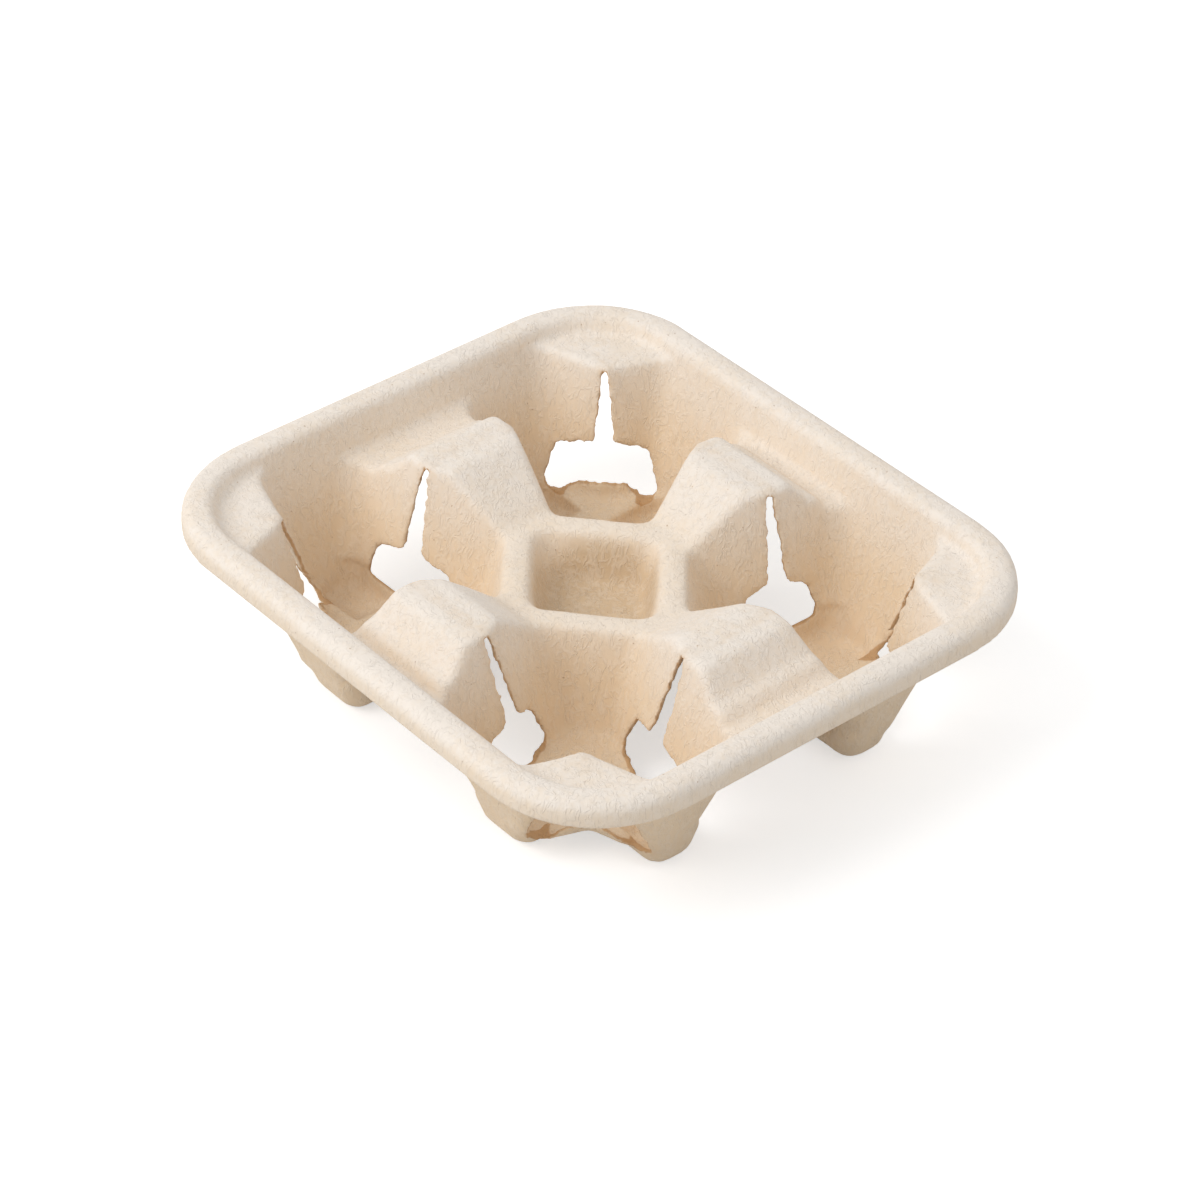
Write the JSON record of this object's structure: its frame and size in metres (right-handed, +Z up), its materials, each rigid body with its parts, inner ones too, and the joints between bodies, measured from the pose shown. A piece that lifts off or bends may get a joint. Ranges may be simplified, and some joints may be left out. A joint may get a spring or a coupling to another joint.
{
  "type": "cup carrier",
  "caption": "Shallow moulded-pulp carrier: drafted cup wells round a small centre pocket, slit walls that spread to grip a cup, a rolled rim and short feet.",
  "frame": {"origin": "middle of the footprint, on the plane that the feet stand on", "axes": "+X along the longer side, +Y along the shorter side, +Z up out of the wells"},
  "size_m": [0.2256, 0.198, 0.057],
  "materials": {
    "pulp": "matte"
  },
  "bodies": {
    "root": {"carrier": "pulp"}
  },
  "joints": []
}
